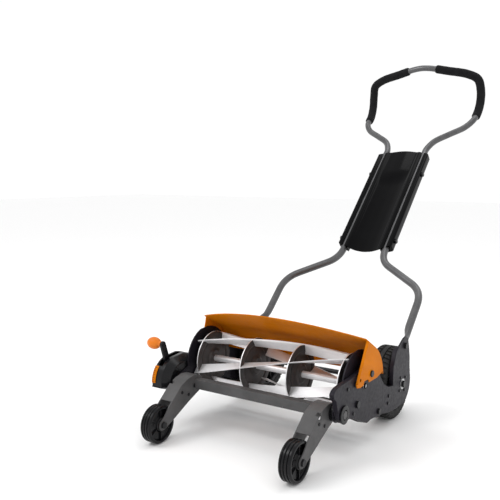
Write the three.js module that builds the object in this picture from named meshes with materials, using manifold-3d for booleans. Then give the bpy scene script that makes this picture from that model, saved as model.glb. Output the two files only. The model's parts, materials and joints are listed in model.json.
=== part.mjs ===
// Push reel mower: side plates, a chain-driven cutting reel, drive wheels, a swinging front wheel
// carriage with its height lever, a tilting grass chute and a folding tube handle with foam grips.
// Millimetres. X runs across the mower, Y points back to the handle and Z points up.
import * as THREE from "three";
import { mergeVertices } from "three/addons/utils/BufferGeometryUtils.js";
import Module from "manifold-3d";

const wasm = await Module();
wasm.setup();

// Cutting reel. Its axis is the line y = 0, z = REEL_Z.
const REEL_Z = 161;
const BLADE_COUNT = 5;
const BLADE_TIP_R = 76.5;
const BLADE_WIDTH = 28;
const BLADE_THICK = 3;
const BLADE_LEAN = 25;
const BLADE_START = -25;
const BLADE_TWIST = 90;
const BLADE_HALF_LENGTH = 226;
const BLADE_STEPS = 22;
const DISC_R = 74.3;
const DISC_HUB_R = 25;
const DISC_X = [-211, -70, 70, 211];
const REEL_SHAFT_R = 9;

// Drive wheels and their live axle.
const DRIVE_Y = 249;
const DRIVE_R = 100.5;
const DRIVE_X = 208.5;
const DRIVE_WIDTH = 55;
const TYRE_BORE_R = 74;
const AXLE_R = 7;

// Chain drive in the left-hand case.
const CHAIN_PITCH = 8;
const REEL_TEETH = 12;
const AXLE_TEETH = 36;
const CHAIN_X = -241;
const CHAIN_WIDTH = 5.6;

// Front wheels and the carriage that swings on the hinge line y = HINGE_Y, z = HINGE_Z.
const HINGE_Y = -112;
const HINGE_Z = 121;
const PIN_R = 8;
const FRONT_Y = -250;
const FRONT_R = 48;
const FRONT_X = 200.6;
const FRONT_WIDTH = 32;
const FORK_IN = 180.5;
const FORK_OUT = 220.7;
const FORK_SHEET = 3.2;
const FRONT_AXLE_R = 6;

// Side plates and the outer covers.
const PLATE_IN = 230;
const PLATE_OUT = 234;
const COVER_IN = 245.5;
const COVER_OUT = 250;
const RIM_IN = 238;
const RIM_WALL = 3;
const SCREW = { y: -40, z: 125, r: 5 };
const TIE = { y: 88, z: 70, r: 5 };
const GAP = 0.3;
const RUN = 0.2;
const ROUND = 16;

// Chute, in two settings about its pins.
const CHUTE_R = 97;
const CHUTE_WALL = 2.5;
const CHUTE_SIDE_IN = 253.3;
const CHUTE_SIDE_OUT = 256.3;
const CHUTE_LEFT_OUT = -237.4;
const CHUTE_LEFT_IN = -234.4;
const LIP_ANGLE = 60;
const LIP_LENGTH = 150;
const CHUTE_PIN = { y: 26, z: 186, r: 5 };

// Height housing and lever.
const HOUSING_OUT = -286;
const HOUSING_R = 62;
const LEVER_X = [-276, -268];
const LEVER_LENGTH = 113;
const LEVER_ANGLE = 108.5;
const KNOB_R = 17;
const KNOB_X = -307;

// Handle. Its lower tubes and panel lie in a plane that rises backwards at HANDLE_SLOPE degrees.
const HANDLE_SLOPE = 43.4;
const HANDLE_BOLT = { y: 262, z: 205, r: 5 };
const TUBE_R = 11;
const TUBE_SIDES = 10;
const LOOP_STEPS = 64;
const GRIP_R = 15.5;
const GRIP_BORE_R = 12.3;
const GRIP_STATIONS = [2, 14];
const PANEL_BASE = { y: 530, z: 431.85 };
const PANEL_HALF = 93;
const TUBE_X = 72;

const CAST = { color: 0x57575c, metalness: 0.5, roughness: 0.55 };
const DARK_CAST = { color: 0x47464d, metalness: 0.4, roughness: 0.55 };
const STEEL = { color: 0xc9c9c8, metalness: 0.9, roughness: 0.3 };
const GREY_PAINT = { color: 0x76726f, metalness: 0.3, roughness: 0.5 };
const TUBE_PAINT = { color: 0x77787b, metalness: 0.8, roughness: 0.35 };
const ORANGE = { color: 0xe07a1c, metalness: 0.0, roughness: 0.5 };
const BLACK = { color: 0x151517, metalness: 0.0, roughness: 0.35 };
const RUBBER = { color: 0x1b1b1c, metalness: 0.0, roughness: 0.85 };
const FOAM = { color: 0x232325, metalness: 0.0, roughness: 0.95 };
const ZINC = { color: 0xb4b5b3, metalness: 0.9, roughness: 0.35 };

// ---- solids ----

function rad(degrees) {
  return (degrees * Math.PI) / 180;
}

// The closed geometry as a solid for joining and cutting, turned to face outwards.
function solid(geometry) {
  const plain = geometry.index ? geometry.toNonIndexed() : geometry.clone();
  plain.deleteAttribute("normal");
  plain.deleteAttribute("uv");
  const merged = mergeVertices(plain, 1e-4);
  const triVerts = new Uint32Array(merged.index.array);
  const vertProperties = merged.attributes.position.array;
  const made = new wasm.Manifold(new wasm.Mesh({ numProp: 3, vertProperties, triVerts }));
  if (made.volume() > 0) return made;
  for (let i = 0; i < triVerts.length; i += 3) {
    [triVerts[i + 1], triVerts[i + 2]] = [triVerts[i + 2], triVerts[i + 1]];
  }
  return new wasm.Manifold(new wasm.Mesh({ numProp: 3, vertProperties, triVerts }));
}

function joined(solids) {
  return solids.reduce((sum, next) => sum.add(next));
}

function cut(body, tools) {
  return tools.reduce((rest, tool) => rest.subtract(tool), body);
}

function moved(geometry, x, y, z) {
  return geometry.translate(x, y, z);
}

function geometryOf(made) {
  const mesh = made.getMesh();
  const flat = new Float32Array(mesh.triVerts.length * 3);
  mesh.triVerts.forEach((vertex, i) => {
    for (let axis = 0; axis < 3; axis += 1) {
      flat[3 * i + axis] = mesh.vertProperties[vertex * mesh.numProp + axis];
    }
  });
  const geometry = new THREE.BufferGeometry();
  geometry.setAttribute("position", new THREE.BufferAttribute(flat, 3));
  geometry.computeVertexNormals();
  return geometry;
}

function mesh(name, body, look) {
  const made = new THREE.Mesh(geometryOf(body), new THREE.MeshStandardMaterial(look));
  made.name = name;
  return made;
}

// ---- outlines in the side view, as [y, z] points ----

function arc(y, z, r, from, to, steps) {
  const points = [];
  for (let i = 0; i <= steps; i += 1) {
    const a = rad(from + ((to - from) * i) / steps);
    points.push([y + r * Math.cos(a), z + r * Math.sin(a)]);
  }
  return points;
}

// The outline moved inwards by a distance, for outlines drawn anticlockwise.
function inset(outline, distance) {
  return outline.map((point, i) => {
    const before = outline[(i + outline.length - 1) % outline.length];
    const after = outline[(i + 1) % outline.length];
    const u = new THREE.Vector2(point[0] - before[0], point[1] - before[1]).normalize();
    const v = new THREE.Vector2(after[0] - point[0], after[1] - point[1]).normalize();
    const n = new THREE.Vector2(-u.y - v.y, u.x + v.x).normalize();
    const reach = distance / Math.max(0.4, n.x * -u.y + n.y * u.x);
    return [point[0] + n.x * reach, point[1] + n.y * reach];
  });
}

// The line of a belt round two circles, [y, z, r] each.
function beltOutline(first, second, steps) {
  const dy = second[0] - first[0];
  const dz = second[1] - first[1];
  const along = (Math.atan2(dz, dy) * 180) / Math.PI;
  const lean = (Math.acos((first[2] - second[2]) / Math.hypot(dy, dz)) * 180) / Math.PI;
  return [
    ...arc(...first, along + lean, along + 360 - lean, steps),
    ...arc(...second, along - lean, along + lean, steps),
  ];
}

function shapeOf(outline) {
  return new THREE.Shape(outline.map(([a, b]) => new THREE.Vector2(a, b)));
}

// ---- building blocks ----

// Turns a geometry drawn in X and Y and swept along Z so that it is swept along the mower's X.
function sideways(geometry) {
  const turn = new THREE.Matrix4().makeBasis(
    new THREE.Vector3(0, 1, 0),
    new THREE.Vector3(0, 0, 1),
    new THREE.Vector3(1, 0, 0),
  );
  return geometry.applyMatrix4(turn);
}

// A [y, z] outline swept along X.
function prism(outline, x0, x1, steps = 1) {
  const depth = Math.abs(x1 - x0);
  const geometry = new THREE.ExtrudeGeometry(shapeOf(outline), { depth, steps, bevelEnabled: false });
  return sideways(geometry).translate(Math.min(x0, x1), 0, 0);
}

function rod(r, x0, x1, y, z, sides = ROUND) {
  const geometry = new THREE.CylinderGeometry(r, r, Math.abs(x1 - x0), sides);
  return moved(geometry.rotateZ(Math.PI / 2), (x0 + x1) / 2, y, z);
}

// A closed [x, r] profile turned about a line along X.
function turned(profile, y, z, segments) {
  const points = [...profile, profile[0]].map(([x, r]) => new THREE.Vector2(r, x));
  return moved(new THREE.LatheGeometry(points, segments).rotateZ(-Math.PI / 2), 0, y, z);
}

function ring(rIn, rOut, x0, x1, y, z, segments = ROUND) {
  const profile = [
    [x0, rIn],
    [x0, rOut],
    [x1, rOut],
    [x1, rIn],
  ];
  return turned(profile, y, z, segments);
}

function block(x0, x1, y0, y1, z0, z1) {
  const geometry = new THREE.BoxGeometry(Math.abs(x1 - x0), y1 - y0, z1 - z0);
  return moved(geometry, (x0 + x1) / 2, (y0 + y1) / 2, (z0 + z1) / 2);
}

function circle(r, sides, hole = 0) {
  const shape = shapeOf(arc(0, 0, r, 0, 360 - 360 / sides, sides - 1));
  if (hole > 0) {
    const bore = shapeOf(arc(0, 0, hole, 0, 360 - 360 / sides, sides - 1));
    shape.holes.push(new THREE.Path(bore.getPoints()));
  }
  return shape;
}

function tube(curve, steps, shape) {
  return new THREE.ExtrudeGeometry(shape, { steps, extrudePath: curve, bevelEnabled: false });
}

// A stretch of another curve, between two of its equal stations.
class Stretch extends THREE.Curve {
  constructor(base, from, to) {
    super();
    this.base = base;
    this.from = from;
    this.to = to;
  }

  getPoint(t, target = new THREE.Vector3()) {
    return target.copy(this.base.getPointAt(this.from + (this.to - this.from) * t));
  }
}

// ---- reel ----

// One helical strip about the X axis, with its cutting edge on the tip circle, grown by a margin
// when it is to cut its own slot.
function bladeStrip(start, margin = 0) {
  const lean = rad(start - BLADE_LEAN);
  const chord = [-Math.cos(lean), Math.sin(lean)];
  const half = BLADE_THICK / 2 + margin;
  const side = [-chord[1] * half, chord[0] * half];
  const tip = [-BLADE_TIP_R * Math.cos(rad(start)), BLADE_TIP_R * Math.sin(rad(start))];
  const along = (distance) => [tip[0] + chord[0] * distance, tip[1] + chord[1] * distance];
  const edge = along(8 * margin);
  const back = along(-BLADE_WIDTH - margin);
  const outline = [
    [edge[0] - side[0], edge[1] - side[1]],
    [edge[0] + side[0], edge[1] + side[1]],
    [back[0] + side[0], back[1] + side[1]],
    [back[0] - side[0], back[1] - side[1]],
  ];
  const geometry = prism(outline, -BLADE_HALF_LENGTH, BLADE_HALF_LENGTH, BLADE_STEPS);
  const position = geometry.getAttribute("position");
  const point = new THREE.Vector3();
  for (let i = 0; i < position.count; i += 1) {
    point.fromBufferAttribute(position, i);
    const share = (point.x + BLADE_HALF_LENGTH) / (2 * BLADE_HALF_LENGTH);
    point.applyAxisAngle(new THREE.Vector3(1, 0, 0), -rad(BLADE_TWIST) * share);
    position.setXYZ(i, point.x, point.y, point.z);
  }
  return moved(geometry, 0, 0, REEL_Z);
}

function bladeAngle(index) {
  return BLADE_START + (360 / BLADE_COUNT) * index;
}

function reelDisc(x) {
  const profile = [
    [x - 8, REEL_SHAFT_R + GAP],
    [x - 8, DISC_HUB_R - 3],
    [x - 1.6, DISC_HUB_R],
    [x - 1.6, DISC_R],
    [x + 1.6, DISC_R],
    [x + 1.6, DISC_HUB_R],
    [x + 8, DISC_HUB_R - 3],
    [x + 8, REEL_SHAFT_R + GAP],
  ];
  const slots = [];
  for (let i = 0; i < BLADE_COUNT; i += 1) {
    slots.push(solid(bladeStrip(bladeAngle(i), GAP)));
  }
  return cut(solid(turned(profile, 0, REEL_Z, 26)), slots);
}

// A toothed disc about the X axis, cut from straight-sided teeth on the pitch circle.
function sprocket(teeth, bore, hub, y, z) {
  const pitchR = CHAIN_PITCH / (2 * Math.sin(Math.PI / teeth));
  const outline = [];
  for (let i = 0; i < teeth; i += 1) {
    const step = 360 / teeth;
    outline.push(arc(0, 0, pitchR - 2.4, step * (i - 0.5), step * i, 1)[0]);
    outline.push(arc(0, 0, pitchR + 0.6, step * i, step * (i + 1), 1)[0]);
  }
  const disc = moved(prism(outline, CHAIN_X - 1.2, CHAIN_X + 1.2), 0, y, z);
  const boss = rod(hub, CHAIN_X - 3, CHAIN_X + 3, y, z, 12);
  return cut(joined([solid(disc), solid(boss)]), [solid(rod(bore, -260, -220, y, z))]);
}

function reelShaft() {
  const nut = rod(7, COVER_OUT + GAP, COVER_OUT + 5.5, 0, REEL_Z, 6);
  return joined([
    solid(rod(REEL_SHAFT_R, -COVER_IN + 1, PLATE_OUT + 3, 0, REEL_Z)),
    solid(rod(6, PLATE_OUT, COVER_OUT + 3, 0, REEL_Z)),
    solid(nut),
  ]);
}

function reelMeshes() {
  const made = [mesh("reel_shaft", reelShaft(), STEEL)];
  DISC_X.forEach((x, i) => made.push(mesh(`reel_disc_${i + 1}`, reelDisc(x), GREY_PAINT)));
  for (let i = 0; i < BLADE_COUNT; i += 1) {
    made.push(mesh(`reel_blade_${i + 1}`, solid(bladeStrip(bladeAngle(i))), STEEL));
  }
  made.push(mesh("reel_sprocket", sprocket(REEL_TEETH, REEL_SHAFT_R + GAP, 12, 0, REEL_Z), ZINC));
  return made;
}

// ---- drive ----

function tyre(x) {
  const half = DRIVE_WIDTH / 2;
  const profile = [
    [x - half, TYRE_BORE_R],
    [x - half, DRIVE_R - 8],
    [x - half + 5, DRIVE_R],
    [x + half - 5, DRIVE_R],
    [x + half, DRIVE_R - 8],
    [x + half, TYRE_BORE_R],
  ];
  return turned(profile, DRIVE_Y, DRIVE_R, 40);
}

function wheelRim(x) {
  const half = DRIVE_WIDTH / 2 - 1.5;
  const outer = TYRE_BORE_R - 0.6;
  const profile = [
    [x - half, AXLE_R + GAP],
    [x - half, 20],
    [x - 4, 24],
    [x - 4, 64],
    [x - half, 69],
    [x - half, outer],
    [x + half, outer],
    [x + half, 69],
    [x + 1, 64],
    [x + 1, 24],
    [x + half, 20],
    [x + half, AXLE_R + GAP],
  ];
  return turned(profile, DRIVE_Y, DRIVE_R, 24);
}

function driveAxle() {
  const parts = [solid(rod(AXLE_R, -COVER_OUT - 2, COVER_OUT + 2, DRIVE_Y, DRIVE_R))];
  for (const side of [-1, 1]) {
    parts.push(solid(rod(10, side * (COVER_OUT + 1.2), side * (COVER_OUT + 7), DRIVE_Y, DRIVE_R, 6)));
  }
  return joined(parts);
}

function chainBand() {
  const reelR = CHAIN_PITCH / (2 * Math.sin(Math.PI / REEL_TEETH));
  const axleR = CHAIN_PITCH / (2 * Math.sin(Math.PI / AXLE_TEETH));
  const band = (offset) =>
    beltOutline([0, REEL_Z, reelR + offset], [DRIVE_Y, DRIVE_R, axleR + offset], 12);
  const half = CHAIN_WIDTH / 2;
  const outer = solid(prism(band(4), CHAIN_X - half, CHAIN_X + half));
  return cut(outer, [solid(prism(band(1.5), CHAIN_X - half - 1, CHAIN_X + half + 1))]);
}

function driveMeshes() {
  return [
    mesh("drive_axle", driveAxle(), ZINC),
    mesh("tyre_left", solid(tyre(-DRIVE_X)), RUBBER),
    mesh("tyre_right", solid(tyre(DRIVE_X)), RUBBER),
    mesh("wheel_rim_left", solid(wheelRim(-DRIVE_X)), BLACK),
    mesh("wheel_rim_right", solid(wheelRim(DRIVE_X)), BLACK),
    mesh("axle_sprocket", sprocket(AXLE_TEETH, AXLE_R + GAP, 13, DRIVE_Y, DRIVE_R), ZINC),
    mesh("drive_chain", chainBand(), ZINC),
  ];
}

// ---- chassis ----

const PLATE_OUTLINE = [
  [-50, 90],
  [0, 66],
  [55, 46],
  [98, 50],
  [108, 64],
  [104, 90],
  [92, 125],
  ...arc(0, REEL_Z, 87, 0, 100, 9),
  ...arc(0, REEL_Z, 90, 110, 185, 7),
  ...arc(HINGE_Y, HINGE_Z, 22, 100, 280, 9),
];

const FRONT_LOBE = [
  [-122, 195],
  [-143, 193],
  [-157, 189],
  [-164, 181],
  [-162, 172],
  [-150, 162],
  [-134, 114],
  [-124, 104],
  [-81, 101],
  [-54, 94],
  [7, 65],
  [60, 61],
  [90, 54],
];

const EAR_TOP = [
  [292, 200],
  [284, 222],
  [267, 231],
  [252, 228],
  [239, 222],
  [221, 213],
  [201, 200],
  [192, 181],
];

const RIGHT_OUTLINE = [
  ...FRONT_LOBE,
  [112, 56],
  [150, 48],
  [190, 43],
  ...arc(DRIVE_Y, DRIVE_R, 58, -100, 25, 10),
  [300, 165],
  ...EAR_TOP,
  [182, 161],
  [182, 113],
  [150, 118],
  [121, 134],
  [96, 162],
  [80, 188],
  [50, 203],
  [0, 206],
  [-67, 197],
];

const LEFT_OUTLINE = [
  [-56, 125],
  [-54, 100],
  [-30, 82],
  [7, 65],
  [60, 61],
  [90, 54],
  [200, 46],
  ...arc(DRIVE_Y, DRIVE_R, 58, -100, 25, 10),
  [300, 165],
  ...EAR_TOP,
  [150, 184],
  [40, 206],
  [0, 210],
  [-35, 208],
  [-52, 194],
  [-60, 175],
  [-62, 150],
];

function sidePlate(side) {
  const tools = [
    solid(rod(17 + GAP, side * 220, side * 240, 0, REEL_Z)),
    solid(rod(PIN_R + RUN, side * 220, side * 240, HINGE_Y, HINGE_Z)),
    solid(rod(TIE.r + GAP, side * 220, side * 240, TIE.y, TIE.z, 12)),
    solid(rod(SCREW.r + GAP, side * 220, side * 240, SCREW.y, SCREW.z, 12)),
  ];
  return cut(solid(prism(PLATE_OUTLINE, side * PLATE_IN, side * PLATE_OUT)), tools);
}

// A pressed cover: a flat face, a rim turned inwards and holes for what passes through it.
function cover(side, outline, shaftHole) {
  const face = prism(outline, side * COVER_IN, side * COVER_OUT);
  const rim = cut(solid(prism(outline, side * RIM_IN, side * COVER_IN)), [
    solid(prism(inset(outline, RIM_WALL), side * (RIM_IN - 1), side * (COVER_IN + 1))),
    solid(block(side * (RIM_IN - 1), side * COVER_IN, 215, 320, 176, 240)),
  ]);
  const through = (r, y, z, sides = ROUND) => solid(rod(r, side * 236, side * 256, y, z, sides));
  const tools = [
    through(15 + GAP, DRIVE_Y, DRIVE_R),
    through(PIN_R + RUN, HINGE_Y, HINGE_Z),
    through(TIE.r + GAP, TIE.y, TIE.z, 12),
    through(SCREW.r + GAP, SCREW.y, SCREW.z, 12),
    through(CHUTE_PIN.r + GAP, CHUTE_PIN.y, CHUTE_PIN.z, 12),
    through(HANDLE_BOLT.r + RUN, HANDLE_BOLT.y, HANDLE_BOLT.z),
  ];
  if (shaftHole > 0) tools.push(through(shaftHole, 0, REEL_Z));
  return cut(joined([solid(face), rim]), tools);
}

function bedknife() {
  return prism(
    [
      [8, 83.4],
      [10, 80.2],
      [50, 74.5],
      [50, 77.5],
    ],
    -PLATE_IN + 0.5,
    PLATE_IN - 0.5,
  );
}

function bedknifeCarrier() {
  return prism(
    [
      [20, 78.4],
      [20, 74.4],
      [58, 69],
      [58, 50],
      [62, 50],
      [62, 72.4],
    ],
    -PLATE_IN + 0.5,
    PLATE_IN - 0.5,
  );
}

function tieRod() {
  const parts = [
    solid(rod(8, -PLATE_IN + GAP, PLATE_IN - GAP, TIE.y, TIE.z, 12)),
    solid(rod(TIE.r, -COVER_OUT - 2, COVER_OUT + 2, TIE.y, TIE.z, 12)),
  ];
  for (const side of [-1, 1]) {
    parts.push(solid(rod(8, side * (PLATE_OUT + GAP), side * (COVER_IN - GAP), TIE.y, TIE.z, 12)));
    parts.push(solid(rod(8.5, side * (COVER_OUT + GAP), side * (COVER_OUT + 5), TIE.y, TIE.z, 6)));
  }
  return joined(parts);
}

function adjuster(side) {
  return joined([
    solid(rod(SCREW.r, side * (PLATE_IN + 0.5), side * (COVER_OUT + 2), SCREW.y, SCREW.z, 12)),
    solid(rod(9, side * (PLATE_OUT + GAP), side * (COVER_IN - GAP), SCREW.y, SCREW.z, 12)),
    solid(rod(9, side * (COVER_OUT + GAP), side * (COVER_OUT + 5), SCREW.y, SCREW.z, 12)),
  ]);
}

function handleBolt(side) {
  return joined([
    solid(rod(HANDLE_BOLT.r, side * 238.3, side * (COVER_OUT + 2), HANDLE_BOLT.y, HANDLE_BOLT.z)),
    solid(rod(9, side * (COVER_OUT + GAP), side * (COVER_OUT + 6), HANDLE_BOLT.y, HANDLE_BOLT.z, 6)),
  ]);
}

function chutePinRight() {
  const { y, z, r } = CHUTE_PIN;
  return joined([
    solid(rod(r, COVER_IN, CHUTE_SIDE_OUT + 2, y, z)),
    solid(rod(8.5, COVER_OUT + GAP, CHUTE_SIDE_IN - GAP, y, z, 12)),
    solid(rod(8.5, CHUTE_SIDE_OUT + GAP, CHUTE_SIDE_OUT + 4, y, z, 12)),
  ]);
}

function chutePinLeft() {
  const { y, z, r } = CHUTE_PIN;
  return joined([
    solid(rod(r, -COVER_OUT - 2, CHUTE_LEFT_IN, y, z)),
    solid(rod(8.5, -COVER_OUT - GAP, -COVER_OUT - 4, y, z, 12)),
    solid(rod(8.5, -COVER_IN + GAP, CHUTE_LEFT_OUT - GAP, y, z, 12)),
  ]);
}

// An outline swept along X from x0 up to x1, narrowing by a margin over its last stretch.
function tapered(outline, x0, x1, length, margin) {
  const depth = x1 - x0 - length + 40;
  const swept = new THREE.ExtrudeGeometry(shapeOf(outline), {
    depth,
    bevelThickness: length,
    bevelSize: margin,
    bevelOffset: -margin,
    bevelSegments: 1,
  });
  const placed = sideways(swept).translate(x1 - length - depth, 0, 0);
  return solid(placed).intersect(solid(prism(outline, x0, x1)));
}

// Shell round the lever's root, narrowing towards the side plate, with a slot for the lever.
function heightHousing() {
  const outline = [
    [-176, 109],
    [-133, 93],
    [-85, 95],
    [-52, 128],
    [-47, 165],
    [-58, 181],
    [-80, 186],
    ...arc(HINGE_Y, HINGE_Z, HOUSING_R, 96, 187, 12),
  ];
  const slotOutline = [
    ...arc(HINGE_Y, HINGE_Z, 95, 52, 135, 8),
    ...arc(HINGE_Y, HINGE_Z, 40, 135, 52, 6),
  ];
  return cut(tapered(outline, HOUSING_OUT, -PLATE_OUT - GAP, 20, 16), [
    solid(prism(inset(outline, 3), HOUSING_OUT + 3, -COVER_OUT - 5)),
    solid(prism(slotOutline, LEVER_X[0] - 3, LEVER_X[1] + 3)),
    solid(block(-COVER_OUT - GAP, -PLATE_OUT + 1, -66, -20, 80, 200)),
    solid(rod(PIN_R + RUN, -COVER_OUT - 20, -PLATE_OUT + 5, HINGE_Y, HINGE_Z)),
  ]);
}

function heightScale() {
  const outline = [
    ...arc(HINGE_Y, HINGE_Z, HOUSING_R + 2.4, 138, 180, 10),
    ...arc(HINGE_Y, HINGE_Z, HOUSING_R + GAP + 0.1, 180, 138, 10),
  ];
  return prism(outline, HOUSING_OUT + 1, HOUSING_OUT + 13);
}

function chassisMeshes() {
  const made = [
    mesh("side_plate_left", sidePlate(-1), DARK_CAST),
    mesh("side_plate_right", sidePlate(1), DARK_CAST),
    mesh("chain_case_left", cover(-1, LEFT_OUTLINE, 0), DARK_CAST),
    mesh("side_cover_right", cover(1, RIGHT_OUTLINE, 6 + RUN), DARK_CAST),
    mesh("bedknife", solid(bedknife()), STEEL),
    mesh("bedknife_carrier", solid(bedknifeCarrier()), DARK_CAST),
    mesh("tie_rod", tieRod(), ZINC),
    mesh("height_housing", heightHousing(), BLACK),
    mesh("height_scale", solid(heightScale()), ORANGE),
  ];
  for (const [word, side] of Object.entries({ left: -1, right: 1 })) {
    const lined = (bore, r, x0, x1, y, z) => solid(ring(bore + RUN, r, side * x0, side * x1, y, z));
    const reelBearing = lined(REEL_SHAFT_R, 17, PLATE_IN - 1.5, PLATE_OUT, 0, REEL_Z);
    const axleBearing = lined(AXLE_R, 15, 244, COVER_OUT + 0.8, DRIVE_Y, DRIVE_R);
    const bush = lined(PIN_R, 20, FORK_OUT + 0.5, PLATE_IN - 0.4, HINGE_Y, HINGE_Z);
    made.push(mesh(`reel_bearing_${word}`, reelBearing, ZINC));
    made.push(mesh(`axle_bearing_${word}`, axleBearing, ZINC));
    made.push(mesh(`hinge_bush_${word}`, bush, BLACK));
    made.push(mesh(`bedknife_screw_${word}`, adjuster(side), ZINC));
    made.push(mesh(`handle_bolt_${word}`, handleBolt(side), ZINC));
  }
  made.push(mesh("chute_pin_left", chutePinLeft(), ZINC));
  made.push(mesh("chute_pin_right", chutePinRight(), ZINC));
  return made;
}

// ---- front carriage ----

const FORK_OUTLINE = [
  ...arc(HINGE_Y, HINGE_Z, 23, -75, 85, 6),
  [-130, 146],
  [-155, 141],
  [-178, 131],
  [-200, 112],
  [-226, 90],
  [-246, 68],
  ...arc(FRONT_Y, FRONT_R, 14, 110, 300, 7),
  [-203, 54],
  [-150, 80],
];

const WEB_OUTLINE = [
  [-96, 138],
  [-110, 144],
  [-130, 146],
  [-155, 141],
  [-178, 131],
  [-200, 112],
  [-216, 98.5],
  [-213.8, 96],
  [-198, 109],
  [-176.5, 127.6],
  [-154, 137.5],
  [-130, 142.4],
  [-111, 140.4],
  [-98, 135],
];

function carriageFrame() {
  const parts = [];
  const tools = [];
  for (const side of [-1, 1]) {
    parts.push(solid(prism(FORK_OUTLINE, side * FORK_IN, side * (FORK_IN + FORK_SHEET))));
    parts.push(solid(prism(FORK_OUTLINE, side * (FORK_OUT - FORK_SHEET), side * FORK_OUT)));
    parts.push(solid(prism(WEB_OUTLINE, side * FORK_IN, side * FORK_OUT)));
    parts.push(solid(rod(12, side * FORK_IN, side * FORK_OUT, HINGE_Y, HINGE_Z, 12)));
    tools.push(solid(rod(FRONT_AXLE_R + GAP, side * 170, side * 230, FRONT_Y, FRONT_R)));
    tools.push(solid(block(side * 211, side * 225, -178, -166, 121, 140)));
  }
  const channel = [
    [-124, 109],
    [-101, 109],
    [-101, 112],
    [-121, 112],
    [-121, 131],
    [-101, 131],
    [-101, 134],
    [-124, 134],
  ];
  parts.push(solid(prism(channel, -FORK_IN - 0.5, FORK_IN + 0.5)));
  parts.push(solid(rod(PIN_R, FORK_OUT - 2, COVER_OUT + 2, HINGE_Y, HINGE_Z)));
  parts.push(solid(rod(11, COVER_OUT + GAP, COVER_OUT + 5, HINGE_Y, HINGE_Z, 6)));
  parts.push(solid(rod(PIN_R, -FORK_OUT + 2, LEVER_X[0] - 2, HINGE_Y, HINGE_Z)));
  return cut(joined(parts), tools);
}

function frontAxle(side) {
  return joined([
    solid(rod(FRONT_AXLE_R, side * (FORK_IN - 2), side * (FORK_OUT + 2), FRONT_Y, FRONT_R)),
    solid(rod(9.5, side * (FORK_IN - GAP), side * (FORK_IN - 5), FRONT_Y, FRONT_R, 6)),
    solid(rod(9.5, side * (FORK_OUT + GAP), side * (FORK_OUT + 5), FRONT_Y, FRONT_R, 6)),
  ]);
}

function frontWheel(x) {
  const half = FRONT_WIDTH / 2;
  const profile = [
    [x - half, FRONT_AXLE_R + RUN],
    [x - half, 16],
    [x - 8, 18],
    [x - 8, 38],
    [x - half, 40],
    [x - half, FRONT_R - 2],
    [x - half + 2.5, FRONT_R],
    [x + half - 2.5, FRONT_R],
    [x + half, FRONT_R - 2],
    [x + half, 40],
    [x + 8, 38],
    [x + 8, 18],
    [x + half, 16],
    [x + half, FRONT_AXLE_R + RUN],
  ];
  return turned(profile, FRONT_Y, FRONT_R, 28);
}

function heightLever() {
  const tip = LEVER_LENGTH - 9;
  const outline = [
    ...arc(0, 0, 16, 40, 320, 12),
    ...arc(tip, 0, 9, -90, 90, 7),
  ];
  const angle = rad(LEVER_ANGLE);
  const swung = outline.map(([a, b]) => [
    HINGE_Y + a * Math.cos(angle) - b * Math.sin(angle),
    HINGE_Z + a * Math.sin(angle) + b * Math.cos(angle),
  ]);
  return cut(solid(prism(swung, LEVER_X[0], LEVER_X[1])), [
    solid(rod(PIN_R + GAP, LEVER_X[0] - 5, LEVER_X[1] + 5, HINGE_Y, HINGE_Z)),
  ]);
}

function leverKnob() {
  const points = [
    [LEVER_X[0] - GAP, 0],
    [LEVER_X[0] - GAP, 6.5],
  ];
  for (let i = 0; i <= 8; i += 1) {
    const a = rad(22 + (158 * i) / 8);
    points.push([KNOB_X + KNOB_R * Math.cos(a), Math.max(0, KNOB_R * Math.sin(a))]);
  }
  points[points.length - 1][1] = 0;
  const reach = LEVER_LENGTH - 9;
  const y = HINGE_Y + reach * Math.cos(rad(LEVER_ANGLE));
  const z = HINGE_Z + reach * Math.sin(rad(LEVER_ANGLE));
  const profile = points.map(([x, r]) => new THREE.Vector2(r, x));
  return moved(new THREE.LatheGeometry(profile, 16).rotateZ(-Math.PI / 2), 0, y, z);
}

function carriageMeshes() {
  return [
    mesh("carriage_frame", carriageFrame(), CAST),
    mesh("front_axle_left", frontAxle(-1), ZINC),
    mesh("front_axle_right", frontAxle(1), ZINC),
    mesh("front_wheel_left", solid(frontWheel(-FRONT_X)), BLACK),
    mesh("front_wheel_right", solid(frontWheel(FRONT_X)), BLACK),
    mesh("height_lever", heightLever(), BLACK),
    mesh("lever_knob", solid(leverKnob()), ORANGE),
  ];
}

// ---- chute ----

// A point of the lip, which leaves the round wall along its tangent, at a distance past the bend.
function onLip(radius, distance) {
  const a = rad(LIP_ANGLE);
  return [
    radius * Math.cos(a) - distance * Math.sin(a),
    REEL_Z + radius * Math.sin(a) + distance * Math.cos(a),
  ];
}

// Cuts the lip's front edge, bowed forward in the middle as seen from above.
function lipCutter() {
  const outline = [];
  const middle = (CHUTE_LEFT_OUT + CHUTE_SIDE_OUT) / 2;
  for (let i = 0; i <= 12; i += 1) {
    const x = -270 + 45 * i;
    outline.push([x, -71 + 63 * ((x - middle) / 247) ** 2]);
  }
  outline.push([270, -160], [-270, -160]);
  const shape = new THREE.ExtrudeGeometry(shapeOf(outline), { depth: 200, bevelEnabled: false });
  return moved(shape, 0, 0, 245);
}

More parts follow.
